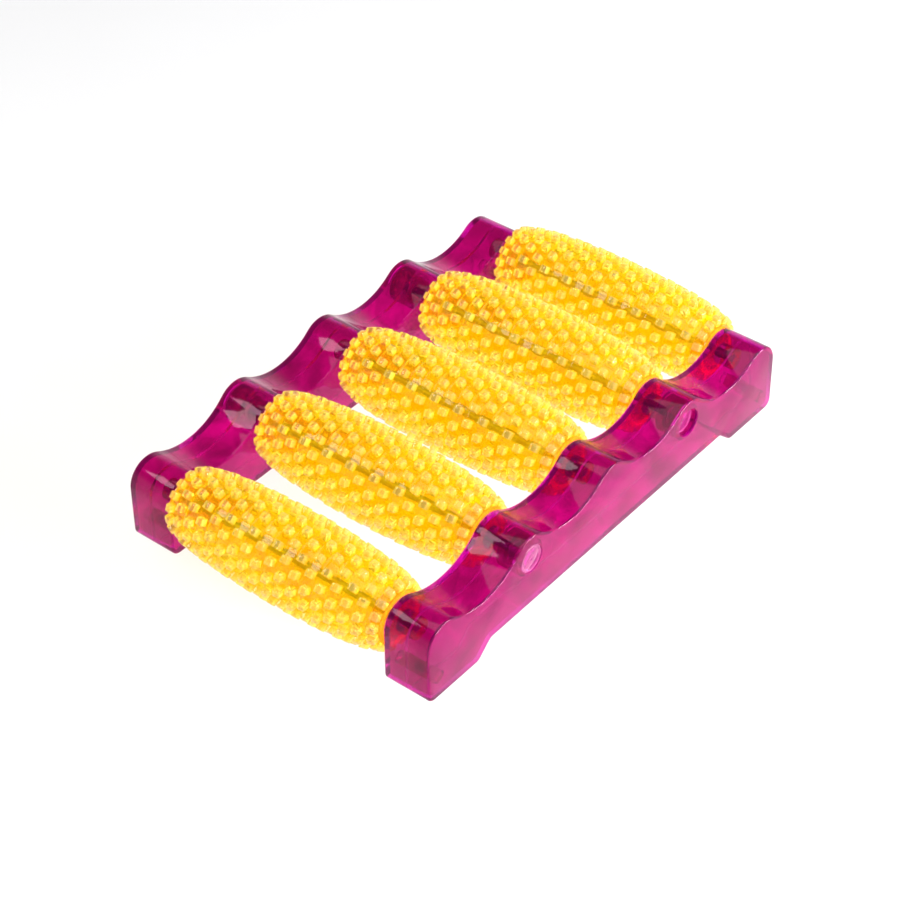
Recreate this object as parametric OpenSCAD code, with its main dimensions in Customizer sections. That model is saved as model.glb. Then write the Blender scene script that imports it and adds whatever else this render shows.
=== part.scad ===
// Foot massage roller: two wavy hollow side rails carry five nubbed rollers on steel rods.
// X runs along the rollers, Y along the rails, Z up. Origin: floor level, middle of the base.

/* [Overall] */
// Length of each side rail, end to end
rail_l = 240; // [200:1:290]
// Clear width between the two rails
bed_w = 115; // [95:1:138]
// Thickness of one rail
rail_t = 23; // [19:0.5:28]
// Height of the middle roller's axis above the floor
axle_h = 32.6; // [31:0.1:40]
// How much lower the second and fourth rollers sit
drop_inner = 1.2; // [0:0.1:2]
// How much lower the two end rollers sit
drop_end = 7; // [4:0.1:8]

/* [Rails] */
// Radius of each crest of the wavy top
crest_r = 12.5; // [11.5:0.1:15]
// Radius of each dip between two crests
trough_r = 32.7; // [28:0.1:40]
// Wall thickness of the moulded rail halves
wall = 2.2; // [1.6:0.1:2.8]
// Height of the hollow under the rail, between its feet
foot_h = 7.1; // [5:0.1:8.5]
// Length of one foot along the floor
foot_l = 31.5; // [24:0.5:38]
// Depth of the blind sockets that hold three of the rods
socket_l = 8; // [6:0.1:9]

/* [Rollers] */
// Body radius of a roller at its middle
roller_r = 17.45; // [14.5:0.05:21]
// How much smaller the body is at its ends
roller_taper = 6.3; // [5.6:0.1:7]
// Distance from one ring of nubs to the next
ring_step = 6.4; // [5.6:0.1:7.8]
// Nubs around one ring
nub_count = 16; // [12:1:16]
// Width of one nub
nub_w = 3.5; // [2.8:0.1:4.2]
// Height of one nub above the body
nub_h = 3.5; // [2.5:0.1:4.2]

/* [Rods] */
// Radius of the steel rods
rod_r = 2; // [1.6:0.05:2.4]
// Radial clearance of a roller cap on its rod
run_fit = 0.08; // [0.05:0.01:0.1]
// Radius of the plug covering a rod nut
plug_r = 6.5; // [5.4:0.1:7.8]

/* [Hidden] */
$fn = 64;
half_l = rail_l / 2;
end_r = 11;
pitch = (half_l - end_r) / 2;
crest_drop = 1;
dip_bite = 0.01;
corner_r = 4;
arch_corner_r = 3;
x_in = bed_w / 2;
x_seam = x_in + rail_t / 2;
x_out = x_in + rail_t;
half_t = rail_t / 2;
axle_z = [
    axle_h - drop_end,
    axle_h - drop_inner,
    axle_h,
    axle_h - drop_inner,
    axle_h - drop_end
];
// rods: blind axle sockets and the through rods' nut recesses
seat_fit = 0.03;
boss_r = 5;
socket_end = 1.8;
axle_end_gap = 0.3;
plug_fit = 0.05;
recess_r = plug_r + plug_fit;
recess_boss_r = recess_r + 1.85;
web_t = 2.5;
washer_t = 0.5;
washer_r = 4.5;
washer_fit = 0.15;
nut_t = 2.4;
nut_af = 7;
rod_past_nut = 0.3;
plug_t = 1.3;
plug_wall = 1.1;
plug_skirt = 2.4;
plug_flush = 0.2;
plug_rod_gap = 1.5;
plug_deep = half_t - web_t - washer_t - nut_t - rod_past_nut - plug_rod_gap - plug_t;
gate_r = 0.8;
gate_d = 0.3;
// rollers
roller_gap = 0.6;
flange_t = 0.6;
rim_r = roller_r - roller_taper;
flange_r = rim_r + 1.15;
barrel_l = bed_w - 2 * (roller_gap + flange_t);
core_r = flange_r - 0.25;
ring_n = floor((barrel_l - nub_w - 0.1) / ring_step) + 1;
nub_taper = 0.6;
nub_taper_h = 0.8;
cap_r = rim_r - 1.35;
cavity_in_1 = 8.4;
cavity_r_1 = cap_r + 1.6;
cavity_in_2 = 20.3;
cavity_r_2 = cap_r + 3;
cap_l = 6.2;
cap_wall = 1.5;
cap_fit = 0.02;
hub_r = rod_r + 1.9;
hub_past = 0.2;
// alignment pegs between the rail halves
peg_r = 1.4;
peg_l = 3;
peg_fit = 0.1;
peg_end_gap = 0.6;
peg_boss_r = 3;
peg_z = 9;
peg_in = 8;
peg_y = half_l - peg_in;

// ---- rail profile, drawn in the Y-Z plane ----
function crest(i) = [(i - 2) * pitch, axle_z[i] - crest_drop];
function unit(v) = v / norm(v);
// centre of the dip between crests i and i + 1, tangent to both
function dip(i) =
    let (a = crest(i), b = crest(i + 1), d = b - a, q = norm(d) / 2)
    (a + b) / 2 + [-d.y, d.x] / norm(d) * sqrt(pow(crest_r + trough_r, 2) - q * q);
function touch(c, t, r) = c + unit(t - c) * r;
foot_slant = 8 / 7.1;
foot_y = half_l - foot_l;
// half-width of the hollow under the rail at height z, grown by w
function arch_y(z, w) = foot_y + w * sqrt(1 + foot_slant * foot_slant) - z * foot_slant;

// the crest line as straight chords, from the front end to the rear end
function chords(w) = [
    [-half_l + w, w],
    [-half_l + w, crest(0).y + crest_r - end_r],
    [-2 * pitch, crest(0).y + crest_r - w],
    for (i = [0:3]) each [
        touch(crest(i), dip(i), crest_r - w),
        touch(crest(i + 1), dip(i), crest_r - w)
    ],
    [2 * pitch, crest(4).y + crest_r - w],
    [half_l - w, crest(4).y + crest_r - end_r],
    [half_l - w, w]
];

// removes the corner p between directions a and b
module corner_cut(p, a, b, r) {
    t = r / tan(acos(a * b) / 2);
    polygon([p, p + a * t, p + b * t]);
}

// the disc that rounds that corner
module corner_disc(p, a, b, r) {
    translate(p + unit(a + b) * r / sin(acos(a * b) / 2))
        circle(r);
}

// outline of the rail, moved inwards by w
module rail_profile(w = 0) {
    difference() {
        union() {
            polygon(chords(w));
            for (i = [1:3])
                translate(crest(i))
                    circle(crest_r - w);
            for (s = [-1, 1])
                translate([s * 2 * pitch, crest(0).y + crest_r - end_r])
                    circle(end_r - w);
            // inner sides of the end crests keep the full crest radius
            for (s = [-1, 1])
                intersection() {
                    translate([s * 2 * pitch, crest(0).y])
                        circle(crest_r - w);
                    translate([s * (2 * pitch - crest_r / 2), crest(0).y])
                        square([crest_r, 4 * crest_r], center = true);
                }
        }
        for (i = [0:3])
            translate(dip(i))
                circle(trough_r + w + dip_bite);
        polygon([
            [-arch_y(-1, w), -1],
            [-arch_y(foot_h + w, w), foot_h + w],
            [arch_y(foot_h + w, w), foot_h + w],
            [arch_y(-1, w), -1]
        ]);
    }
}

// the outside outline has rounded bottom corners and foot ends
module rail_outline() {
    slant = unit([-foot_slant, 1]);
    difference() {
        union() {
            difference() {
                rail_profile();
                for (s = [-1, 1]) {
                    corner_cut([s * half_l, 0], [-s, 0], [0, 1], corner_r);
                    corner_cut([s * foot_y, 0], [s, 0], [s * slant.x, slant.y], corner_r);
                }
            }
            for (s = [-1, 1]) {
                corner_disc([s * half_l, 0], [-s, 0], [0, 1], corner_r);
                corner_disc([s * foot_y, 0], [s, 0], [s * slant.x, slant.y], corner_r);
                corner_cut([s * arch_y(foot_h, 0), foot_h], [-s, 0],
                    [-s * slant.x, -slant.y], arch_corner_r);
            }
        }
        for (s = [-1, 1])
            corner_disc([s * arch_y(foot_h, 0), foot_h], [-s, 0],
                [-s * slant.x, -slant.y], arch_corner_r);
    }
}

// stands a Y-Z outline up and gives it a span in X
module span_x(x0, x1) {
    translate([x0, 0, 0])
        rotate([90, 0, 90])
            linear_extrude(height = x1 - x0)
                children();
}

module rod_x(r, x0, x1, y, z) {
    translate([x0, y, z])
        rotate([0, 90, 0])
            cylinder(r = r, h = x1 - x0);
}

function is_tied(i) = i % 2 == 1;

// the half of the right rail nearest the rollers
module inner_half() {
    difference() {
        union() {
            difference() {
                span_x(x_in, x_seam)
                    rail_outline();
                span_x(x_in + wall, x_seam + 1)
                    rail_profile(wall);
            }
            for (i = [0:4])
                rod_x(boss_r, x_in + wall / 2, is_tied(i) ? x_seam : x_in + socket_l + socket_end,
                    crest(i).x, axle_z[i]);
            for (s = [-1, 1])
                rod_x(peg_boss_r, x_in + wall / 2, x_seam, s * peg_y, peg_z);
            for (s = [-1, 1])
                rod_x(peg_r, x_seam - 1, x_seam + peg_l, s * peg_y, peg_z);
        }
        for (i = [0:4])
            rod_x(rod_r + seat_fit, x_in - 1, is_tied(i) ? x_seam + 1 : x_in + socket_l,
                crest(i).x, axle_z[i]);
    }
}

// the half of the right rail with the outer face
module outer_half() {
    difference() {
        union() {
            difference() {
                span_x(x_seam, x_out)
                    rail_outline();
                span_x(x_seam - 1, x_out - wall)
                    rail_profile(wall);
            }
            for (i = [1, 3])
                rod_x(recess_boss_r, x_seam, x_out - wall / 2, crest(i).x, axle_z[i]);
            for (s = [-1, 1])
                rod_x(peg_boss_r, x_seam, x_out - wall / 2, s * peg_y, peg_z);
        }
        for (s = [-1, 1])
            rod_x(peg_r + peg_fit, x_seam - 1, x_seam + peg_l + peg_end_gap,
                s * peg_y, peg_z);
        for (i = [1, 3])
            rod_x(rod_r + seat_fit, x_seam - 1, x_seam + web_t + 1, crest(i).x, axle_z[i]);
        for (i = [1, 3])
            rod_x(recess_r, x_seam + web_t, x_out + 1, crest(i).x, axle_z[i]);
    }
}

module right_rail_outer_half() {
    color([0.78, 0.10, 0.50])
        outer_half();
}

module right_rail_inner_half() {
    color([0.72, 0.06, 0.46])
        inner_half();
}

module left_rail_outer_half() {
    color([0.78, 0.10, 0.50])
        mirror([1, 0, 0])
            outer_half();
}

module left_rail_inner_half() {
    color([0.72, 0.06, 0.46])
        mirror([1, 0, 0])
            inner_half();
}

// ---- rollers, drawn about the X axis ----
// body radius at a distance x from the middle
function body_r(x) =
    let (u = abs(x) / (bed_w / 2))
    roller_r - roller_taper * (0.555 * pow(u, 2) + 0.445 * pow(u, 8));
function ring_x(i) = (i - (ring_n - 1) / 2) * ring_step;

// one nub: a square peg with its tip narrowed on both sides
module nub(r) {
    a = nub_w / 2;
    b = a - nub_taper;
    e = nub_taper_h;
    translate([0, a, r])
        rotate([90, 0, 0])
            linear_extrude(height = nub_w)
                polygon([[-a, -1], [a, -1], [a, nub_h - e], [b, nub_h], [-b, nub_h],
                    [-a, nub_h - e]]);
}

module barrel_solid() {
    for (i = [0:ring_n - 1])
        translate([ring_x(i), 0, 0])
            rotate([0, 90, 0])
                cylinder(r = body_r(ring_x(i)), h = ring_step, center = true);
    rotate([0, 90, 0])
        cylinder(r = core_r, h = barrel_l, center = true);
    for (i = [0:ring_n - 1], j = [0:nub_count - 1])
        translate([ring_x(i), 0, 0])
            rotate([(j + (i % 2) / 2) * 360 / nub_count, 0, 0])
                nub(body_r(ring_x(i)));
}

// hollow nubbed body of roller i
module barrel(i) {
    color([1.0, 0.72, 0.05])
        translate([0, crest(i).x, axle_z[i]])
            difference() {
                intersection() {
                    barrel_solid();
                    rotate([0, 90, 0])
                        cylinder(r = 2 * roller_r, h = barrel_l, center = true);
                }
                rotate([0, 90, 0])
                    cylinder(r = cap_r, h = barrel_l + 2, center = true);
                rotate([0, 90, 0])
                    cylinder(r = cavity_r_1, h = barrel_l - 2 * cavity_in_1, center = true);
                rotate([0, 90, 0])
                    cylinder(r = cavity_r_2, h = barrel_l - 2 * cavity_in_2, center = true);
            }
}

// pressed-in end cap of roller i, on side s (-1 left, 1 right)
module cap(i, s) {
    x0 = barrel_l / 2;
    color([1.0, 0.55, 0.10])
        translate([0, crest(i).x, axle_z[i]])
            mirror([s < 0 ? 1 : 0, 0, 0])
                difference() {
                    union() {
                        rod_x(flange_r, x0, x0 + flange_t, 0, 0);
                        rod_x(cap_r - cap_fit, x0 - cap_l, x0 + flange_t, 0, 0);
                        rod_x(hub_r, x0, x0 + flange_t + hub_past, 0, 0);
                    }
                    difference() {
                        rod_x(cap_r - cap_wall, x0 - cap_l - 1, x0 - cap_wall, 0, 0);
                        rod_x(hub_r, x0 - cap_l - 2, x0, 0, 0);
                    }
                    rod_x(rod_r + run_fit, x0 - cap_l - 2, x0 + 2, 0, 0);
                }
}

module front_roller_barrel() { barrel(0); }
module second_roller_barrel() { barrel(1); }
module middle_roller_barrel() { barrel(2); }
module fourth_roller_barrel() { barrel(3); }
module rear_roller_barrel() { barrel(4); }
module front_roller_left_cap() { cap(0, -1); }
module front_roller_right_cap() { cap(0, 1); }
module second_roller_left_cap() { cap(1, -1); }
module second_roller_right_cap() { cap(1, 1); }
module middle_roller_left_cap() { cap(2, -1); }
module middle_roller_right_cap() { cap(2, 1); }
module fourth_roller_left_cap() { cap(3, -1); }
module fourth_roller_right_cap() { cap(3, 1); }
module rear_roller_left_cap() { cap(4, -1); }
module rear_roller_right_cap() { cap(4, 1); }

// ---- rods, nuts, washers and plugs ----
// plain axle of roller i, held in blind sockets
module axle(i) {
    x1 = x_in + socket_l - axle_end_gap;
    color([0.62, 0.64, 0.66])
        rod_x(rod_r, -x1, x1, crest(i).x, axle_z[i]);
}

// axle of roller i that also ties the rails together
module tie_rod(i) {
    x1 = x_seam + web_t + washer_t + nut_t + rod_past_nut;
    color([0.62, 0.64, 0.66])
        rod_x(rod_r, -x1, x1, crest(i).x, axle_z[i]);
}

module front_axle() { axle(0); }
module middle_axle() { axle(2); }
module rear_axle() { axle(4); }
module second_tie_rod() { tie_rod(1); }
module fourth_tie_rod() { tie_rod(3); }

// places a right-hand piece at both ends of both tie rods
module at_rod_ends() {
    for (i = [1, 3], m = [0, 1])
        mirror([m, 0, 0])
            translate([0, crest(i).x, axle_z[i]])
                children();
}

module tie_rod_washers() {
    x0 = x_seam + web_t;
    color([0.70, 0.71, 0.72])
        at_rod_ends()
            difference() {
                rod_x(washer_r, x0, x0 + washer_t, 0, 0);
                rod_x(rod_r + washer_fit, x0 - 1, x0 + washer_t + 1, 0, 0);
            }
}

module tie_rod_nuts() {
    x0 = x_seam + web_t + washer_t;
    color([0.66, 0.67, 0.69])
        at_rod_ends()
            difference() {
                translate([x0, 0, 0])
                    rotate([90, 0, 90])
                        linear_extrude(height = nut_t)
                            circle(d = nut_af / cos(30), $fn = 6);
                rod_x(rod_r + seat_fit, x0 - 1, x0 + nut_t + 1, 0, 0);
            }
}

// cup-shaped plug over the nut of rod i; its face sits d below the rail's face
module plug(i, m, d) {
    x1 = x_out - d;
    color([0.86, 0.36, 0.66])
        mirror([m, 0, 0])
            translate([0, crest(i).x, axle_z[i]])
                difference() {
                    rod_x(plug_r, x1 - plug_t - plug_skirt, x1, 0, 0);
                    rod_x(plug_r - plug_wall, x1 - plug_t - plug_skirt - 1, x1 - plug_t, 0, 0);
                    rod_x(gate_r, x1 - gate_d, x1 + 1, 0, 0);
                }
}

module right_second_hole_plug() { plug(1, 0, plug_flush); }
module right_fourth_hole_plug() { plug(3, 0, plug_deep); }
module left_second_hole_plug() { plug(1, 1, plug_flush); }
module left_fourth_hole_plug() { plug(3, 1, plug_flush); }

right_rail_outer_half();
right_rail_inner_half();
left_rail_outer_half();
left_rail_inner_half();
front_roller_barrel();
front_roller_left_cap();
front_roller_right_cap();
second_roller_barrel();
second_roller_left_cap();
second_roller_right_cap();
middle_roller_barrel();
middle_roller_left_cap();
middle_roller_right_cap();
fourth_roller_barrel();
fourth_roller_left_cap();
fourth_roller_right_cap();
rear_roller_barrel();
rear_roller_left_cap();
rear_roller_right_cap();
front_axle();
middle_axle();
rear_axle();
second_tie_rod();
fourth_tie_rod();
tie_rod_washers();
tie_rod_nuts();
right_second_hole_plug();
right_fourth_hole_plug();
left_second_hole_plug();
left_fourth_hole_plug();
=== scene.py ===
# %% [markdown]
# # A foot massage roller in clear coloured plastic
# Two wavy, hollow side rails of clear magenta plastic carry five nubbed yellow rollers
# on thin steel rods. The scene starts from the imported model, so every new piece can
# take its place from it. Lengths are in metres; X runs along the rollers, Y along the
# rails and Z up.

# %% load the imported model
import math
import bmesh
import bpy
from mathutils import Matrix, Vector


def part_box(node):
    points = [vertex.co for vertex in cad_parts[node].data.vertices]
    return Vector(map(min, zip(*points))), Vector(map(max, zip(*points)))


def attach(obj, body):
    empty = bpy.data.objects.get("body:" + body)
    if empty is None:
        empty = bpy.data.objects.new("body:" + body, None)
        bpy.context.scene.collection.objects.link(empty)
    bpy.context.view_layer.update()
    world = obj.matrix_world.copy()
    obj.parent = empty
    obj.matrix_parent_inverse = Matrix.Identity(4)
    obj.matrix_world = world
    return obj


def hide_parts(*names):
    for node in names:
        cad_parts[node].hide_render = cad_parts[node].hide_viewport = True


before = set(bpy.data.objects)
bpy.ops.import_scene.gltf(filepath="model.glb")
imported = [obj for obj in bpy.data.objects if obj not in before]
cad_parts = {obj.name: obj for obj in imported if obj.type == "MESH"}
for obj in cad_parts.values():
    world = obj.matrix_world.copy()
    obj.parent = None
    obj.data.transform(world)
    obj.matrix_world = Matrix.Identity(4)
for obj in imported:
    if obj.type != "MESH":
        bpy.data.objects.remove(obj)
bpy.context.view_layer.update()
MM = 0.001
SAME_PLACE = 1e-7  # points closer than this are one point
WELD_REACH = 1e-6  # how near two drawn ends must come to be welded

# %% [markdown]
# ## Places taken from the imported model
# The five rods give the roller axes, and the rail halves give the four planes that
# matter along X: the inner face, the seam between the halves and the outer face.
# Reading them from the nodes keeps the detailed pieces on the same frame as the joints.

# %% read the rod axes and the planes of the rails
ROLLERS = ["front", "second", "middle", "fourth", "rear"]
RODS = ["front_axle", "second_tie_rod", "middle_axle", "fourth_tie_rod", "rear_axle"]
TIED = (1, 3)
axis_at = []
for rod in RODS:
    low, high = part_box(rod)
    axis_at.append(Vector((0, (low.y + high.y) / 2, (low.z + high.z) / 2)))
low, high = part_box("right_rail_inner_half")
inner_x, half_length = low.x, high.y
seam_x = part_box("right_rail_outer_half")[0].x
outer_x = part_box("right_rail_outer_half")[1].x
print("rod axes (mm):", [(round(a.y / MM, 1), round(a.z / MM, 1)) for a in axis_at])
print("rail planes (mm):", [round(x / MM, 2) for x in (inner_x, seam_x, outer_x)])

# %% [markdown]
# ## Camera
# The camera looks down at the corner of the object from a long way off through a long
# lens, so the rails stay nearly parallel. Its place is an angle round the object, an
# angle above the floor and a distance; its axes are built from those two angles.

# %% set the camera
turn, lift, roll = (math.radians(a) for a in (39.16, 39.72, -0.42))
aim, distance = Vector((0, 0, 0.022)), 1.1344
back = Vector((math.sin(turn) * math.cos(lift), -math.cos(turn) * math.cos(lift), math.sin(lift)))
side = Vector((math.cos(turn), math.sin(turn), 0))
above = back.cross(side)
right = side * math.cos(roll) + above * math.sin(roll)
upward = above * math.cos(roll) - side * math.sin(roll)
camera_data = bpy.data.cameras.new("camera")
camera_data.lens, camera_data.sensor_width = 105.63, 36
camera_data.shift_x, camera_data.shift_y = -0.0122, -0.0236
camera = bpy.data.objects.new("camera", camera_data)
bpy.context.scene.collection.objects.link(camera)
camera.matrix_world = (Matrix.Translation(aim + back * distance)
                       @ Matrix((right, upward, back)).transposed().to_4x4())
bpy.context.scene.camera = camera
print("camera at", [round(c, 3) for c in camera.location])

# %% [markdown]
# ## Helpers
# Every mesh and every material below is begun in the same way, so the first steps are
# written once here: an object from a finished mesh, a material, a node, a colour ramp.

# %% write the helpers
def new_object(name, bm):
    """Puts a finished bmesh into an object whose origin is the model's origin."""
    mesh = bpy.data.meshes.new(name)
    bm.to_mesh(mesh)
    bm.free()
    thing = bpy.data.objects.new(name, mesh)
    bpy.context.scene.collection.objects.link(thing)
    return thing


def smooth(thing, crease):
    """Shades an object smooth, apart from edges sharper than crease, in degrees."""
    thing.data.polygons.foreach_set("use_smooth", [True] * len(thing.data.polygons))
    thing.data.set_sharp_from_angle(angle=math.radians(crease))


def new_material(name):
    """A material with its Principled shader; nothing else is in it yet."""
    material = bpy.data.materials.new(name)
    material.use_nodes = True
    tree = material.node_tree
    return material, tree, tree.nodes["Principled BSDF"]


def node(tree, kind, place, **values):
    """Adds a shader node and sets the sockets that are named."""
    made = tree.nodes.new(kind)
    made.location = place
    for socket, value in values.items():
        made.inputs[socket.replace("_", " ")].default_value = value
    return made


def ramp(tree, place, first, second, positions=(0.0, 1.0)):
    """A ramp from the first colour to the second, between two positions."""
    made = node(tree, "ShaderNodeValToRGB", place)
    for element, position, colour in zip(made.color_ramp.elements, positions, (first, second)):
        element.position = position
        element.color = colour
    return made


def noise_out(made):
    """The value socket of a noise texture, whatever this version calls it."""
    return made.outputs["Factor"] if "Factor" in made.outputs else made.outputs["Fac"]


def maths(tree, operation, a, b, place):
    """One Math node; a and b are numbers or sockets."""
    made = tree.nodes.new("ShaderNodeMath")
    made.operation, made.location = operation, place
    for index, value in enumerate((a, b)):
        if isinstance(value, (int, float)):
            made.inputs[index].default_value = value
        else:
            tree.links.new(value, made.inputs[index])
    return made.outputs[0]


def lay_over(tree, place, factor, under, over):
    """Lays a plain colour over a colour socket, as far as the factor socket says."""
    made = tree.nodes.new("ShaderNodeMix")
    made.data_type, made.location = "RGBA", place
    made.inputs["B"].default_value = over
    tree.links.new(factor, made.inputs["Factor"])
    tree.links.new(under, made.inputs["A"])
    return made.outputs["Result"]


helpers = (new_object, smooth, new_material, node, ramp, noise_out, maths, lay_over)
print("helpers:", [helper.__name__ for helper in helpers])

# %% [markdown]
# ## Light
# Clear glossy plastic is drawn by what it mirrors and by what shines through it. A
# softbox ahead and to the left puts pale patches on the slopes of the crests that face
# the viewer, a long low one on the right runs a white line along the rounded top
# edge of the near rail, and a wide top light whitens the floor that shows through. The
# surround is bright near the floor and dark overhead, so level surfaces stay deep.

# %% add the softboxes
def softbox(name, towards, away, width, height, power):
    """A rectangular lamp in the direction given, facing the middle of the object."""
    lamp = bpy.data.lights.new(name, "AREA")
    lamp.shape, lamp.size, lamp.size_y, lamp.energy = "RECTANGLE", width, height, power
    holder = bpy.data.objects.new(name, lamp)
    bpy.context.scene.collection.objects.link(holder)
    direction = Vector(towards).normalized()
    holder.location = aim + direction * away
    holder.rotation_euler = direction.to_track_quat("Z", "Y").to_euler()


softbox("softbox_front_left", towards=(-0.52, -0.48, 0.74), away=1.2,
        width=0.40, height=0.32, power=3)
softbox("softbox_right", towards=(0.90, 0.38, 0.21), away=1.3,
        width=1.4, height=0.30, power=44)
softbox("softbox_top", towards=(0.10, -0.05, 1.0), away=2.0,
        width=2.0, height=2.0, power=25)

# %% shade the surround from the horizon upwards
world = bpy.data.worlds.new("studio")
bpy.context.scene.world = world
world.use_nodes = True
sky = world.node_tree
look = node(sky, "ShaderNodeTexCoord", (-900, 0))
split = node(sky, "ShaderNodeSeparateXYZ", (-700, 0))
fade = ramp(sky, (-450, 0), (0.95, 0.94, 0.93, 1), (0.10, 0.10, 0.11, 1), (0.15, 0.55))
fade.color_ramp.interpolation = "EASE"
sky.links.new(look.outputs["Generated"], split.inputs["Vector"])
sky.links.new(split.outputs["Z"], fade.inputs["Fac"])
sky.links.new(fade.outputs["Color"], sky.nodes["Background"].inputs["Color"])
bpy.context.scene.view_settings.view_transform = "Standard"
bpy.context.scene.cycles.max_bounces = 26
bpy.context.scene.cycles.transmission_bounces = 24
bpy.context.scene.cycles.transparent_max_bounces = 32
print("surround fades between heights", [round(e.position, 2) for e in fade.color_ramp.elements])

# %% [markdown]
# ## Floor
# A plain pale sheet, large enough to fill the view, with the faintest mottling so that
# it reads as a real painted surface. It lies a hair below the soles, because two faces
# in the same place would leave coloured fringes round the feet.

# %% lay the floor
floor_reach, floor_drop = 4, 0.05 * MM
bm = bmesh.new()
bmesh.ops.create_grid(bm, x_segments=2, y_segments=2, size=floor_reach)
bmesh.ops.translate(bm, verts=bm.verts, vec=(0, 0, -floor_drop))
floor = new_object("floor", bm)
floor_paint, tree, paint = new_material("floor_paint")
paint.inputs["Roughness"].default_value = 0.85
place = node(tree, "ShaderNodeTexCoord", (-900, 0))
mottle = node(tree, "ShaderNodeTexNoise", (-700, 0), Scale=6.0, Detail=3.0)
shade = ramp(tree, (-450, 0), (0.90, 0.90, 0.90, 1), (0.93, 0.93, 0.93, 1))
tree.links.new(place.outputs["Object"], mottle.inputs["Vector"])
tree.links.new(noise_out(mottle), shade.inputs["Fac"])
tree.links.new(shade.outputs["Color"], paint.inputs["Base Color"])
floor.data.materials.append(floor_paint)
print("floor side (m):", 2 * floor_reach)

# %% [markdown]
# ## Finish shared by all the moulded plastic
# Injection-moulded clear plastic is never perfectly even: the melt leaves soft swirls
# that bend what is seen through it, the skin has a faint ripple, and handling leaves
# fine scratches and dulled edges. One node group makes these as masks and a height, and
# each plastic uses it with its own values.

# %% build the moulded skin group
def group(name, inputs, outputs):
    """An empty shader node group with float inputs (name, value) and float outputs."""
    made = bpy.data.node_groups.new(name, "ShaderNodeTree")
    for label, value in inputs:
        socket = made.interface.new_socket(label, in_out="INPUT", socket_type="NodeSocketFloat")
        socket.default_value = value
    for label in outputs:
        made.interface.new_socket(label, in_out="OUTPUT", socket_type="NodeSocketFloat")
    return made, made.nodes.new("NodeGroupInput"), made.nodes.new("NodeGroupOutput")


skin, given, result = group(
    "moulded_skin",
    [("Swirl Scale", 60.0), ("Ripple Scale", 220.0), ("Polish", 0.03), ("Wear", 0.12)],
    ["Swirl", "Roughness", "Height"])
given.location, result.location = (-1100, 0), (600, 0)
where = node(skin, "ShaderNodeTexCoord", (-1100, -300))
swirl = node(skin, "ShaderNodeTexNoise", (-800, 200), Detail=4.0, Roughness=0.55, Distortion=1.2)
ripple = node(skin, "ShaderNodeTexNoise", (-800, -100), Detail=2.0, Roughness=0.4)
scratch = node(skin, "ShaderNodeTexNoise", (-800, -400), Scale=900.0, Detail=3.0, Roughness=0.7)
stretch = node(skin, "ShaderNodeMapping", (-1000, -400), Scale=(1.0, 0.08, 1.0))
for texture, source in ((swirl, where), (ripple, where), (stretch, where)):
    skin.links.new(source.outputs["Object"], texture.inputs["Vector"])
skin.links.new(stretch.outputs["Vector"], scratch.inputs["Vector"])
skin.links.new(given.outputs["Swirl Scale"], swirl.inputs["Scale"])
skin.links.new(given.outputs["Ripple Scale"], ripple.inputs["Scale"])
shape = skin.nodes.new("ShaderNodeNewGeometry")
shape.location = (-800, -700)
edge = node(skin, "ShaderNodeMapRange", (-500, -700), From_Min=0.52, From_Max=0.60)
skin.links.new(shape.outputs["Pointiness"], edge.inputs["Value"])
fine = node(skin, "ShaderNodeMapRange", (-500, -400), From_Min=0.62, From_Max=0.80)
skin.links.new(noise_out(scratch), fine.inputs["Value"])
worn = maths(skin, "MAXIMUM", edge.outputs["Result"], fine.outputs["Result"], (-250, -500))
dulled = maths(skin, "MULTIPLY", worn, given.outputs["Wear"], (0, -400))
skin.links.new(maths(skin, "ADD", dulled, given.outputs["Polish"], (200, -300)),
               result.inputs["Roughness"])
skin.links.new(noise_out(swirl), result.inputs["Swirl"])
skin.links.new(noise_out(ripple), result.inputs["Height"])
print("group", skin.name, "puts out", [s.name for s in result.inputs if s.name])

# %% [markdown]
# ## Clear plastics
# Each clear plastic is one Principled shader that lets most of the light through: its
# colour tints the light once on the way in and once on the way out, so two walls look
# deeper than one and the bosses show darker. Lamps can't shine through glass in a path tracer without
# a great deal of noise, so a second, nearly clear shader answers the shadow rays. It
# answers the diffuse rays too, which keeps a coloured glow off the pale floor.

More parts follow.
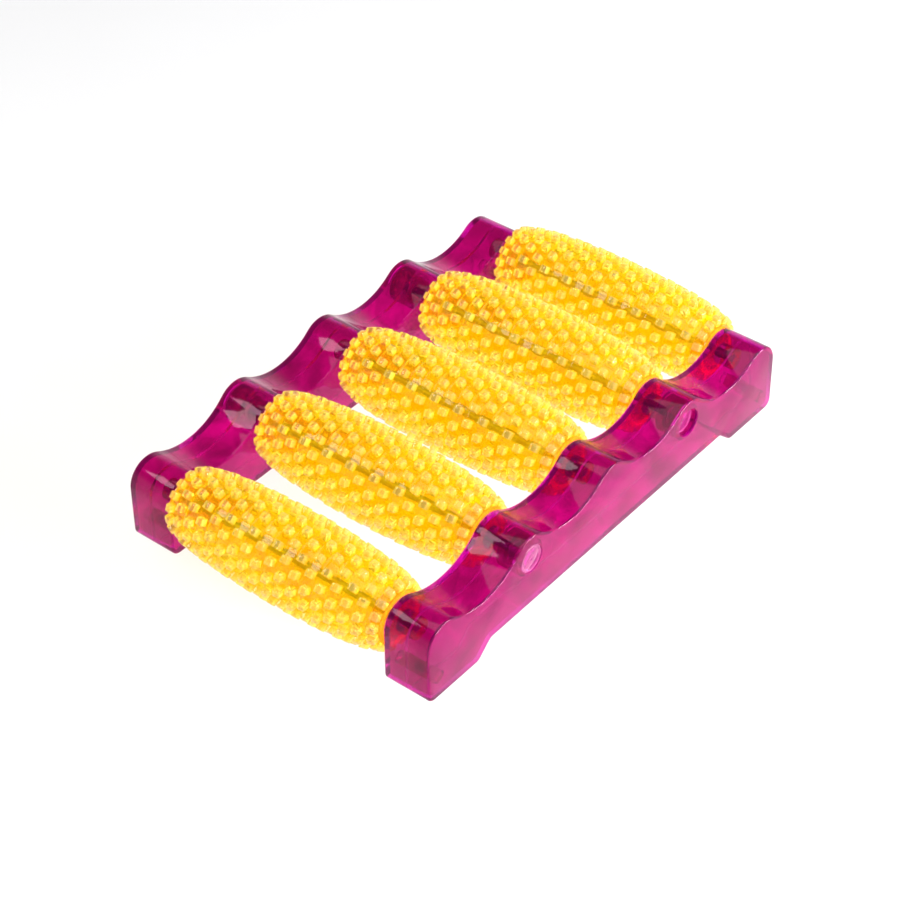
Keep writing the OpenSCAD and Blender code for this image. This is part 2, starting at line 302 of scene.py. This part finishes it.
# %% write the clear plastic recipe
def clear_plastic(name, thin, thick, shadow, ior, swirl_scale, ripple_scale, polish, wear,
                  through, tip=None, gloss=0.0, deep=None):
    """A tinted clear plastic; thin and thick are the two ends of its swirled colour.
    through is the share of the light that goes through it rather than scattering.
    tip is a paler colour painted on the ends of nubs, where the mesh's tip attribute is 1: painted
    light, for the brightness that clear nubs take from the light they catch and pass.
    deep is a deeper colour for the soles of the feet, and for the crests and bosses, where
    there is more plastic to look through and the mesh's crest attribute is 1.
    gloss is a coat for thin-walled plastic, whose own IOR is set low: a thin wall hardly
    bends light, but its skin still mirrors."""
    material, tree, plastic = new_material(name)
    plastic.location = (200, 200)
    marks = tree.nodes.new("ShaderNodeGroup")
    marks.node_tree, marks.location = skin, (-700, 0)
    for label, value in (("Swirl Scale", swirl_scale), ("Ripple Scale", ripple_scale),
                         ("Polish", polish), ("Wear", wear)):
        marks.inputs[label].default_value = value
    tint = ramp(tree, (-350, 250), thick, thin, (0.35, 0.65))
    bump = node(tree, "ShaderNodeBump", (-350, -250), Strength=0.35, Distance=0.2 * MM)
    tree.links.new(marks.outputs["Swirl"], tint.inputs["Fac"])
    colour = tint.outputs["Color"]
    # painted light: the nub tips are made paler to stand in for the light that the clear nubs catch
    # and pass
    if tip:
        height = node(tree, "ShaderNodeAttribute", (-350, 500))
        height.attribute_name = "tip"
        colour = lay_over(tree, (-50, 350), height.outputs["Fac"], colour, tip)
    if deep:
        spot = node(tree, "ShaderNodeTexCoord", (-900, 800))
        split = node(tree, "ShaderNodeSeparateXYZ", (-700, 800))
        low = node(tree, "ShaderNodeMapRange", (-500, 800), From_Min=3.0 * MM, From_Max=0.6 * MM)
        solid = node(tree, "ShaderNodeAttribute", (-500, 1050))
        solid.attribute_name = "crest"
        tree.links.new(spot.outputs["Object"], split.inputs["Vector"])
        tree.links.new(split.outputs["Z"], low.inputs["Value"])
        either = maths(tree, "MAXIMUM", low.outputs["Result"], solid.outputs["Fac"], (-250, 900))
        colour = lay_over(tree, (-50, 600), either, colour, deep)
    tree.links.new(colour, plastic.inputs["Base Color"])
    tree.links.new(marks.outputs["Roughness"], plastic.inputs["Roughness"])
    tree.links.new(marks.outputs["Height"], bump.inputs["Height"])
    tree.links.new(bump.outputs["Normal"], plastic.inputs["Normal"])
    plastic.inputs["Transmission Weight"].default_value = through
    plastic.inputs["IOR"].default_value = ior
    plastic.inputs["Coat Weight"].default_value = gloss
    plastic.inputs["Coat Roughness"].default_value = 0.02
    plastic.inputs["Coat IOR"].default_value = 1.5
    lamp_pass = node(tree, "ShaderNodeBsdfTransparent", (200, -200), Color=shadow)
    rays = node(tree, "ShaderNodeLightPath", (0, 500))
    seen = plastic.outputs["BSDF"]
    for step, kind in enumerate(("Is Diffuse Ray", "Is Shadow Ray")):
        pick = node(tree, "ShaderNodeMixShader", (500 + 200 * step, 200))
        tree.links.new(rays.outputs[kind], pick.inputs[0])
        tree.links.new(seen, pick.inputs[1])
        tree.links.new(lamp_pass.outputs["BSDF"], pick.inputs[2])
        seen = pick.outputs["Shader"]
    tree.links.new(seen, tree.nodes["Material Output"].inputs["Surface"])
    return material


rail_plastic = clear_plastic(
    "clear_magenta_plastic", thin=(0.78, 0.004, 0.43, 1), thick=(0.46, 0.002, 0.23, 1),
    shadow=(1.0, 0.985, 0.995, 1), ior=1.16, swirl_scale=45.0, ripple_scale=160.0,
    polish=0.012, wear=0.06, through=0.95, gloss=0.28, deep=(0.52, 0.002, 0.26, 1))
# the roller's tip colour is painted light on the nubs, not a second colour of plastic
roller_plastic = clear_plastic(
    "clear_yellow_plastic", thin=(1.0, 0.74, 0.006, 1), thick=(1.0, 0.58, 0.002, 1),
    shadow=(1.0, 0.99, 0.96, 1), ior=1.32, swirl_scale=90.0, ripple_scale=300.0,
    polish=0.02, wear=0.08, through=0.80, tip=(1.0, 0.86, 0.28, 1))
cap_plastic = clear_plastic(
    "clear_orange_cap_plastic", thin=(1.0, 0.62, 0.10, 1), thick=(1.0, 0.52, 0.06, 1),
    shadow=(1.0, 0.98, 0.94, 1), ior=1.32, swirl_scale=90.0, ripple_scale=300.0,
    polish=0.03, wear=0.10, through=0.94)
plug_plastic = clear_plastic(
    "milky_pink_plug_plastic", thin=(0.80, 0.12, 0.50, 1), thick=(0.70, 0.07, 0.42, 1),
    shadow=(1.0, 0.985, 0.995, 1), ior=1.40, swirl_scale=120.0, ripple_scale=300.0,
    polish=0.06, wear=0.12, through=0.88, gloss=0.4)
print("clear plastics:", [m.name for m in (rail_plastic, roller_plastic, cap_plastic, plug_plastic)])

# %% [markdown]
# ## Steel
# The rods are drawn wire: the die leaves long fine lines, so the noise is stretched
# along X. Washers and nuts are zinc-plated, with the small blotches of a plated skin.

# %% write the two steels
def steel(name, light, dark, scale, squeeze, low, high):
    """Plated or drawn steel, as smooth as low and as rough as high; a small number in
    squeeze draws the marks out along that direction."""
    material, tree, metal = new_material(name)
    where = node(tree, "ShaderNodeTexCoord", (-1100, 0))
    along = node(tree, "ShaderNodeMapping", (-900, 0), Scale=squeeze)
    marks = node(tree, "ShaderNodeTexNoise", (-700, 0), Scale=scale, Detail=4.0, Roughness=0.6)
    colour = ramp(tree, (-400, 200), dark, light)
    rough = node(tree, "ShaderNodeMapRange", (-400, -50), To_Min=low, To_Max=high)
    bump = node(tree, "ShaderNodeBump", (-400, -350), Strength=0.3, Distance=0.1 * MM)
    tree.links.new(where.outputs["Object"], along.inputs["Vector"])
    tree.links.new(along.outputs["Vector"], marks.inputs["Vector"])
    for target in (colour.inputs["Fac"], rough.inputs["Value"], bump.inputs["Height"]):
        tree.links.new(noise_out(marks), target)
    tree.links.new(colour.outputs["Color"], metal.inputs["Base Color"])
    tree.links.new(rough.outputs["Result"], metal.inputs["Roughness"])
    tree.links.new(bump.outputs["Normal"], metal.inputs["Normal"])
    metal.inputs["Metallic"].default_value = 1.0
    return material


rod_steel = steel("drawn_steel", light=(0.42, 0.42, 0.43, 1), dark=(0.22, 0.23, 0.24, 1),
                  scale=1400.0, squeeze=(0.03, 1.0, 1.0), low=0.22, high=0.42)
fastener_steel = steel("zinc_plated_steel", light=(0.72, 0.73, 0.75, 1), dark=(0.52, 0.53, 0.56, 1),
                       scale=500.0, squeeze=(1.0, 1.0, 1.0), low=0.25, high=0.45)
print("steels:", rod_steel.name, "and", fastener_steel.name)

# %% [markdown]
# ## Side rails
# Each rail is two open half shells that meet at a seam along the middle of its
# thickness. The wavy top is a chain of arcs, crest and dip in turn, each touching the
# next, and the outline is the same ahead of and behind the middle roller. So half the
# outline is drawn with a compass (the spin operator turning one point) and a ruler (one
# point extruded to the next), and the mirror operator makes the other half.

# %% compass and ruler
def compass(bm, point, centre, start, end, steps):
    """Swings a point about a centre in the Y-Z plane, between two angles in degrees."""
    swing = bmesh.ops.spin(bm, geom=[point], cent=centre, axis=(1, 0, 0),
                           angle=math.radians(end - start), steps=steps, use_merge=False)
    return [g for g in swing["geom_last"] if isinstance(g, bmesh.types.BMVert)][0]


def ruler(bm, point, y, z):
    """Draws a straight line from a point to a place in the same Y-Z plane."""
    tip = bmesh.ops.extrude_vert_indiv(bm, verts=[point])["verts"][0]
    tip.co.y, tip.co.z = y, z
    return tip


def angle_to(a, b):
    """Direction from a to b in the Y-Z plane, in degrees."""
    return math.degrees(math.atan2(b.z - a.z, b.y - a.y))


crest_radius, dip_radius, end_radius = 12.5 * MM, 32.7 * MM, 11 * MM
crest_drop = 1 * MM
crest_at = [a - Vector((0, 0, crest_drop)) for a in axis_at]
dip_at = []
for a, b in zip(crest_at, crest_at[1:]):
    chord = b - a
    square = Vector((0, -chord.z, chord.y)).normalized()
    reach = math.sqrt((crest_radius + dip_radius) ** 2 - (chord.length / 2) ** 2)
    dip_at.append((a + b) / 2 + square * reach)
print("dip centres (mm):", [(round(d.y / MM, 1), round(d.z / MM, 1)) for d in dip_at])

# %% draw the rail's outline
foot_height, foot_length, foot_run = 7.1 * MM, 31.5 * MM, 8.0 * MM
foot_corner, arch_corner = 4 * MM, 3 * MM
slant = math.degrees(math.atan2(1, foot_run / foot_height))
crest_steps, dip_steps, end_steps, corner_steps, bend_steps = 7, 18, 12, 6, 4


def rail_face(bm, x):
    """Draws the outline at a place along X and fills it as one face."""
    c2, c3, c4, d2, d3 = *crest_at[2:], *dip_at[2:]
    p = bm.verts.new((x, 0, c2.z + crest_radius))
    p = compass(bm, p, c2, 90, angle_to(c2, d2), crest_steps)
    for low, high, dip in ((c2, c3, d2), (c3, c4, d3)):
        p = compass(bm, p, dip, angle_to(dip, low), angle_to(dip, high), dip_steps)
        if high is c3:
            p = compass(bm, p, c3, angle_to(c3, d2), angle_to(c3, d3), 2 * crest_steps)
    p = compass(bm, p, c4, angle_to(c4, d3), 90, crest_steps)
    p = compass(bm, p, c4 + Vector((0, 0, crest_radius - end_radius)), 90, 0, end_steps)
    p = ruler(bm, p, half_length, foot_corner)
    p = compass(bm, p, Vector((0, half_length - foot_corner, foot_corner)), 0, -90, corner_steps)
    shift = foot_corner * math.tan(math.radians(slant / 2))
    heel = Vector((0, half_length - foot_length + shift, foot_corner))
    p = ruler(bm, p, heel.y, 0)
    p = compass(bm, p, heel, -90, -90 - slant, bend_steps)
    arch = Vector((0, half_length - foot_length - foot_run, foot_height - arch_corner))
    arch.y -= arch_corner * math.tan(math.radians(slant / 2))
    p = ruler(bm, p, arch.y + arch_corner * math.sin(math.radians(slant)),
              arch.z + arch_corner * math.cos(math.radians(slant)))
    p = compass(bm, p, arch, 90 - slant, 90, bend_steps)
    ruler(bm, p, 0, foot_height)
    drawn = [e for e in bm.edges if not e.link_faces and abs(e.verts[0].co.x - x) < SAME_PLACE]
    ends = list({v for e in drawn for v in e.verts})
    bmesh.ops.mirror(bm, geom=ends + drawn, matrix=Matrix.Identity(4), merge_dist=WELD_REACH, axis="Y")
    loop = [e for e in bm.edges if not e.link_faces and abs(e.verts[0].co.x - x) < SAME_PLACE]
    return bmesh.ops.edgeloop_fill(bm, edges=loop)["faces"][0]


bm = bmesh.new()
trial = rail_face(bm, 0)
print("outline corners:", len(trial.verts), "side area (mm2):", round(trial.calc_area() / MM ** 2))
bm.free()

# %% [markdown]
# A half shell is the outline pushed along X to the seam and left open there. It gets its
# wall from the solidify operator, which keeps the thickness even round every arc, and
# only then is the outer rim rounded by a bevel, so the cavity keeps its plain corner.

# %% make a half shell
wall, rim_round, seam_gap = 2.2 * MM, 1.1 * MM, 0.03 * MM
flat_face = 0.99  # a normal's X from which a face counts as the flat one


def half_shell(face_x, side):
    """An open half rail; side is +1 where its flat face looks along +X, else -1."""
    bm = bmesh.new()
    seam = seam_x + side * seam_gap
    face = rail_face(bm, face_x)
    pushed = bmesh.ops.extrude_face_region(bm, geom=[face])["geom"]
    moved = [g for g in pushed if isinstance(g, bmesh.types.BMVert)]
    bmesh.ops.translate(bm, verts=moved, vec=(seam - face_x, 0, 0))
    ends = [g for g in pushed if isinstance(g, bmesh.types.BMFace)]
    bmesh.ops.delete(bm, geom=ends, context="FACES_ONLY")
    bmesh.ops.recalc_face_normals(bm, faces=bm.faces)
    if sum(f.normal.x for f in bm.faces if abs(f.normal.x) > flat_face) * side < 0:
        bmesh.ops.reverse_faces(bm, faces=bm.faces)
    bmesh.ops.solidify(bm, geom=bm.faces[:], thickness=wall)
    rim = [e for e in bm.edges if all(abs(v.co.x - face_x) < SAME_PLACE for v in e.verts)]
    bmesh.ops.bevel(bm, geom=rim, offset=rim_round, offset_type="OFFSET", segments=4,
                    profile=0.5, affect="EDGES", material=-1, clamp_overlap=True)
    return bm


bm = half_shell(outer_x, 1)
print("half shell faces:", len(bm.faces), "open edges:", sum(e.is_boundary for e in bm.edges),
      "volume (mm3):", round(bm.calc_volume(signed=True) / MM ** 3))
bm.free()

# %% [markdown]
# Inside, each half is plain apart from its bosses. An inner half has one round every
# rod, an outer half has a wide one round each nut recess, and both have a small one in
# each foot for the pegs that line the halves up. They show as faint discs through the
# plastic. They are joined to the shell by a boolean, because clear plastic can't have
# two surfaces in the same place.

# %% bars for the inside of a rail, and the boolean step
def bar(bm, radius, x0, x1, y, z, sides, radius_end=None):
    """A round bar along X; it becomes a cone where radius_end is given."""
    stand = Matrix.Translation(((x0 + x1) / 2, y, z)) @ Matrix.Rotation(math.pi / 2, 4, "Y")
    bmesh.ops.create_cone(bm, cap_ends=True, segments=sides, radius1=radius,
                          radius2=radius if radius_end is None else radius_end,
                          depth=x1 - x0, matrix=stand)


def boolean(target, tool_bm, operation):
    """Joins or cuts a mesh with a tool, and keeps the result as plain mesh."""
    tool = new_object("tool", tool_bm)
    step = target.modifiers.new(operation.lower(), "BOOLEAN")
    step.operation, step.solver, step.object, step.use_self = operation, "EXACT", tool, True
    graph = bpy.context.evaluated_depsgraph_get()
    done = bpy.data.meshes.new_from_object(target.evaluated_get(graph))
    target.modifiers.clear()
    target.data = done
    bpy.data.objects.remove(tool)


rod_radius, bore_gap, boss_radius, socket_depth = 2 * MM, 0.03 * MM, 5 * MM, 8 * MM
socket_wall, recess_wall = 1.8 * MM, 1.85 * MM
recess_radius, web = 6.55 * MM, 2.5 * MM
chamfer_inwards, chamfer_outwards, chamfer_reach = 0.2 * MM, 0.8 * MM, 0.5 * MM
peg_radius, peg_length, peg_height, peg_boss_radius = 1.4 * MM, 3 * MM, 9 * MM, 3 * MM
peg_side_gap, peg_end_gap = 0.1 * MM, 0.6 * MM
past = 1 * MM  # how far a cutter goes on beyond what it cuts
wide_sides, boss_sides, bore_sides, peg_boss_sides, peg_sides = 56, 40, 32, 28, 24
peg_inset = 8 * MM
peg_at = [side * (half_length - peg_inset) for side in (-1, 1)]


def bosses(seam, face_x, is_outer):
    """The round bosses of one half, from inside its wall towards the seam."""
    bm = bmesh.new()
    for i, a in enumerate(axis_at):
        if is_outer and i in TIED:
            bar(bm, recess_radius + recess_wall, seam, outer_x - wall / 2, a.y, a.z, wide_sides)
        if not is_outer:
            end = seam if i in TIED else inner_x + socket_depth + socket_wall
            bar(bm, boss_radius, inner_x + wall / 2, end, a.y, a.z, boss_sides)
    for y in peg_at:
        x0, x1 = sorted((seam, face_x - math.copysign(wall / 2, face_x - seam)))
        bar(bm, peg_boss_radius, x0, x1, y, peg_height, peg_boss_sides)
    return bm


# %% [markdown]
# The bores and the two nut recesses are cut last, right through the bosses. A short
# cone at each recess mouth leaves the small chamfer that catches the light as a ring.

# %% build the two right-hand halves and mirror them
def rail_half(name, is_outer):
    """One right-hand half rail, with its bosses, pegs, bores and recesses."""
    side = 1 if is_outer else -1
    face_x = outer_x if is_outer else inner_x
    seam = seam_x + side * seam_gap
    half = new_object(name, half_shell(face_x, side))
    boolean(half, bosses(seam, face_x, is_outer), "UNION")
    if not is_outer:
        pegs = bmesh.new()
        for y in peg_at:
            bar(pegs, peg_radius, seam - past, seam_x + peg_length, y, peg_height, peg_sides)
        boolean(half, pegs, "UNION")
    cuts = bmesh.new()
    for i, a in enumerate(axis_at):
        if is_outer and i in TIED:
            bar(cuts, rod_radius + bore_gap, seam - past, seam_x + web + past, a.y, a.z, bore_sides)
            bar(cuts, recess_radius, seam_x + web, outer_x + past, a.y, a.z, wide_sides)
            bar(cuts, recess_radius - chamfer_inwards, outer_x - chamfer_reach,
                outer_x + chamfer_reach, a.y, a.z, wide_sides, recess_radius + chamfer_outwards)
        if not is_outer:
            end = seam + past if i in TIED else inner_x + socket_depth
            bar(cuts, rod_radius + bore_gap, inner_x - past, end, a.y, a.z, bore_sides)
    if is_outer:
        for y in peg_at:
            bar(cuts, peg_radius + peg_side_gap, seam - past, seam_x + peg_length + peg_end_gap,
                y, peg_height, peg_sides)
    boolean(half, cuts, "DIFFERENCE")
    return half


crest_fade = 3 * MM
sideways = 0.9  # a normal's X from which a face takes no crest mark


def finish_rail_half(half, cad_name, mirrored):
    """Merges, mirrors if asked, smooths and paints a half, and gives it its place. Faces
    that look sideways keep a crest mark of 0; the others reach 1 within the crest circles."""
    bm = bmesh.new()
    bm.from_mesh(half.data)
    bmesh.ops.remove_doubles(bm, verts=bm.verts, dist=SAME_PLACE)
    if mirrored:
        bmesh.ops.scale(bm, vec=(-1, 1, 1), verts=bm.verts)
        bmesh.ops.reverse_faces(bm, faces=bm.faces)
    solid = bm.faces.layers.float.new("crest")
    for face in bm.faces:
        away = min((face.calc_center_median() - a).yz.length for a in crest_at)
        if abs(face.normal.x) < sideways:
            face[solid] = max(0.0, min(1.0, (crest_radius + crest_fade - away) / crest_fade))
    bm.to_mesh(half.data)
    print(half.name, "faces", len(bm.faces), "open", sum(not e.is_manifold for e in bm.edges),
          "mm3", round(bm.calc_volume(signed=True) / MM ** 3))
    bm.free()
    smooth(half, crease=32)
    half.data.materials.clear()
    half.data.materials.append(rail_plastic)
    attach(half, "frame")
    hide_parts(cad_name)


for part, is_outer in (("outer", True), ("inner", False)):
    half = rail_half(f"clear_right_rail_{part}_half", is_outer)
    twin = bpy.data.objects.new(f"clear_left_rail_{part}_half", half.data.copy())
    bpy.context.scene.collection.objects.link(twin)
    finish_rail_half(half, f"right_rail_{part}_half", False)
    finish_rail_half(twin, f"left_rail_{part}_half", True)

# %% [markdown]
# ## Rollers
# A roller is a hollow barrel with rings of small square pegs, each ring set half a step
# round from the last. The barrel is one closed profile, turned about its rod by the
# spin operator, with narrow bands where the rings stand. The faces on those bands are
# already the feet of the nubs, so the nubs grow out of them with no joint to show. A nub
# narrows a little to its tip, and leans only a quarter of the way with the body's slope.
# The bore is listed in millimetres from the mouth inwards: the seat of the cap, then a step
# and a slight draft to the hollow middle.

# %% draw the barrel's section
barrel_half, ring_step, ring_count = 56.3 * MM, 6.4 * MM, 18
nub_width, nub_height, nub_columns = 3.5 * MM, 3.5 * MM, 16
nub_taper, nub_round, slope_share = 0.92, 0.42 * MM, 0.25
ring_slack = 0.5 * MM
bed_half, body_radius, body_taper = 57.5 * MM, 17.45 * MM, 6.3 * MM
round_share, square_share = 0.555, 0.445
end_lip, groove_half, groove_depth = 0.35 * MM, 0.3 * MM, 0.22 * MM
BORE_SECTION = [(47.9, 9.8), (46.5, 11.2), (36.5, 11.6), (34.5, 12.8)]


def body_at(x):
    """Radius of the barrel's body at a distance from its middle: a gentle curve, and a
    steeper one that only tells near the ends."""
    u = abs(x) / bed_half
    return body_radius - body_taper * (round_share * u ** 2 + square_share * u ** 8)


def ring_x(i):
    """Place of a ring of nubs along the roller."""
    return (i - (ring_count - 1) / 2) * ring_step


def profile_stations():
    """The barrel's section as (x, radius) pairs: outside from left to right, then inside back."""
    stations = [(-barrel_half, body_at(barrel_half) + end_lip)]
    for i in range(ring_count):
        centre = ring_x(i)
        stations += [(centre - nub_width / 2, body_at(centre - nub_width / 2)),
                     (centre + nub_width / 2, body_at(centre + nub_width / 2))]
        if i < ring_count - 1:
            gap = centre + ring_step / 2
            groove = body_at(gap)
            stations += [(gap - groove_half, groove), (gap, groove - groove_depth),
                         (gap + groove_half, groove)]
    stations.append((barrel_half, body_at(barrel_half) + end_lip))
    inside = [(x * MM, r * MM) for x, r in BORE_SECTION]
    inside.insert(0, (barrel_half, inside[0][1]))
    return stations + inside + [(-x, r) for x, r in reversed(inside)]


stations = profile_stations()
print("barrel section:", len(stations), "points")

# %% turn the barrel and grow the nubs
def chain(bm, places):
    """Draws a line through a list of places; gives back its first and last points."""
    first = last = bm.verts.new(places[0])
    for place in places[1:]:
        last = bmesh.ops.extrude_vert_indiv(bm, verts=[last])["verts"][0]
        last.co = place
    return first, last


def nubbed_barrel():
    """A barrel with all its nubs, about the X axis."""
    bm = bmesh.new()
    lean = Matrix.Rotation(-math.pi / (2 * nub_columns), 4, "X")
    first, last = chain(bm, [lean @ Vector((x, 0, r)) for x, r in stations])
    bm.edges.new((last, first))
    bmesh.ops.spin(bm, geom=bm.verts[:] + bm.edges[:], cent=(0, 0, 0), axis=(1, 0, 0),
                   angle=2 * math.pi, steps=2 * nub_columns, use_merge=True)
    bmesh.ops.remove_doubles(bm, verts=bm.verts, dist=SAME_PLACE)
    bmesh.ops.recalc_face_normals(bm, faces=bm.faces)
    feet = []
    for face in bm.faces:
        centre = face.calc_center_median()
        ring = round(centre.x / ring_step + (ring_count - 1) / 2)
        column = round(math.atan2(-centre.y, centre.z) / (math.pi / nub_columns))
        on_ring = 0 <= ring < ring_count and abs(centre.x - ring_x(ring)) < ring_slack
        radius = math.hypot(centre.y, centre.z)
        if on_ring and radius > body_at(centre.x) - ring_slack and (ring + column) % 2 == 0:
            feet.append((face, column * math.pi / nub_columns))
    for face, heading in feet:
        for v in face.verts:
            radius = math.hypot(v.co.y, v.co.z)
            here = math.atan2(-v.co.y, v.co.z) - heading
            here = math.atan2(math.sin(here), math.cos(here))
            half_angle = math.asin(nub_width / 2 / radius)
            bmesh.ops.rotate(bm, cent=(0, 0, 0), verts=[v], matrix=Matrix.Rotation(
                math.copysign(half_angle, here) - here, 3, "X"))
    # the tip attribute marks where the painted light goes: 1 at the nub tips, which the roller plastic
    # paints paler
    painted_light_tip_layer = bm.verts.layers.float.new("tip")
    tips = bmesh.ops.extrude_discrete_faces(bm, faces=[f for f, _ in feet])["faces"]
    rounded = set()
    for tip in tips:
        centre, outward = tip.calc_center_median(), tip.normal.copy()
        outward.x *= slope_share
        outward.normalize()
        for v in tip.verts:
            v.co = centre + (v.co - centre) * nub_taper + outward * nub_height
            v[painted_light_tip_layer] = 1.0
        rounded.update(tip.edges)
        rounded.update(e for v in tip.verts for e in v.link_edges)
    bmesh.ops.bevel(bm, geom=list(rounded), offset=nub_round, offset_type="OFFSET", segments=2,
                    profile=0.5, affect="EDGES", material=-1, clamp_overlap=True)
    print("nubs", len(feet), "faces", len(bm.faces), "open", sum(not e.is_manifold for e in bm.edges),
          "mm3", round(bm.calc_volume(signed=True) / MM ** 3))
    return bm


pattern = nubbed_barrel()
for which, axis in zip(ROLLERS, axis_at):
    copy = pattern.copy()
    bmesh.ops.translate(copy, verts=copy.verts, vec=axis)
    barrel = new_object(f"clear_{which}_barrel", copy)
    smooth(barrel, crease=40)
    barrel.data.materials.append(roller_plastic)
    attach(barrel, f"{which}_roller")
    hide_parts(f"{which}_roller_barrel")
pattern.free()

# %% [markdown]
# ## Hole plugs
# A plug is a shallow moulded cup pressed into a nut recess. Its face has a rounded edge,
# a shallow ring groove and the small dimple of the mould's gate in the middle; these
# catch the light as two fine rings. One half section, given in millimetres as a radius
# and a place behind the face, is turned about X by the spin operator, and each plug takes
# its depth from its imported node.

# %% turn the plugs
PLUG_SECTION = [(0.0, -0.25), (0.7, -0.25), (0.9, 0.0), (4.5, 0.0), (4.75, -0.22), (5.15, -0.22),
                (5.4, 0.0), (6.1, 0.0), (6.38, -0.1), (6.5, -0.4), (6.5, -3.7), (5.4, -3.7),
                (5.4, -1.3), (0.0, -1.3)]


def hole_plug(name, cad_name):
    """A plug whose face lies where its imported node's face lies."""
    low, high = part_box(cad_name)
    outward = 1 if low.x > 0 else -1
    face = high.x if outward > 0 else low.x
    middle = Vector((0, (low.y + high.y) / 2, (low.z + high.z) / 2))
    bm = bmesh.new()
    chain(bm, [(face + outward * x * MM, middle.y, middle.z + r * MM) for r, x in PLUG_SECTION])
    bmesh.ops.spin(bm, geom=bm.verts[:] + bm.edges[:], cent=middle, axis=(1, 0, 0),
                   angle=2 * math.pi, steps=wide_sides, use_merge=True)
    bmesh.ops.remove_doubles(bm, verts=bm.verts, dist=WELD_REACH)
    bmesh.ops.recalc_face_normals(bm, faces=bm.faces)
    print(name, "faces", len(bm.faces), "open", sum(not e.is_manifold for e in bm.edges))
    plug = new_object(name, bm)
    smooth(plug, crease=50)
    plug.data.materials.append(plug_plastic)
    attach(plug, "frame")
    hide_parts(cad_name)


for rail in ("right", "left"):
    for hole in ("second", "fourth"):
        hole_plug(f"milky_{rail}_{hole}_plug", f"{rail}_{hole}_hole_plug")

# %% [markdown]
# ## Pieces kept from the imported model
# The caps, rods, washers and nuts already have their real shape, so they only need
# their finish. Each material goes into the slots that the node has.

# %% give the kept nodes their finish
def finish_node(name, material):
    """Puts one material into every slot of a node."""
    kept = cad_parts[name]
    if not kept.data.materials:
        kept.data.materials.append(material)
    for slot in kept.material_slots:
        slot.material = material


finishes = {f"{which}_roller_{end}_cap": cap_plastic for which in ROLLERS for end in ("left", "right")}
finishes.update({rod: rod_steel for rod in RODS})
finishes.update({"tie_rod_washers": fastener_steel, "tie_rod_nuts": fastener_steel})
for name, material in finishes.items():
    finish_node(name, material)
print("kept nodes finished:", len(finishes))
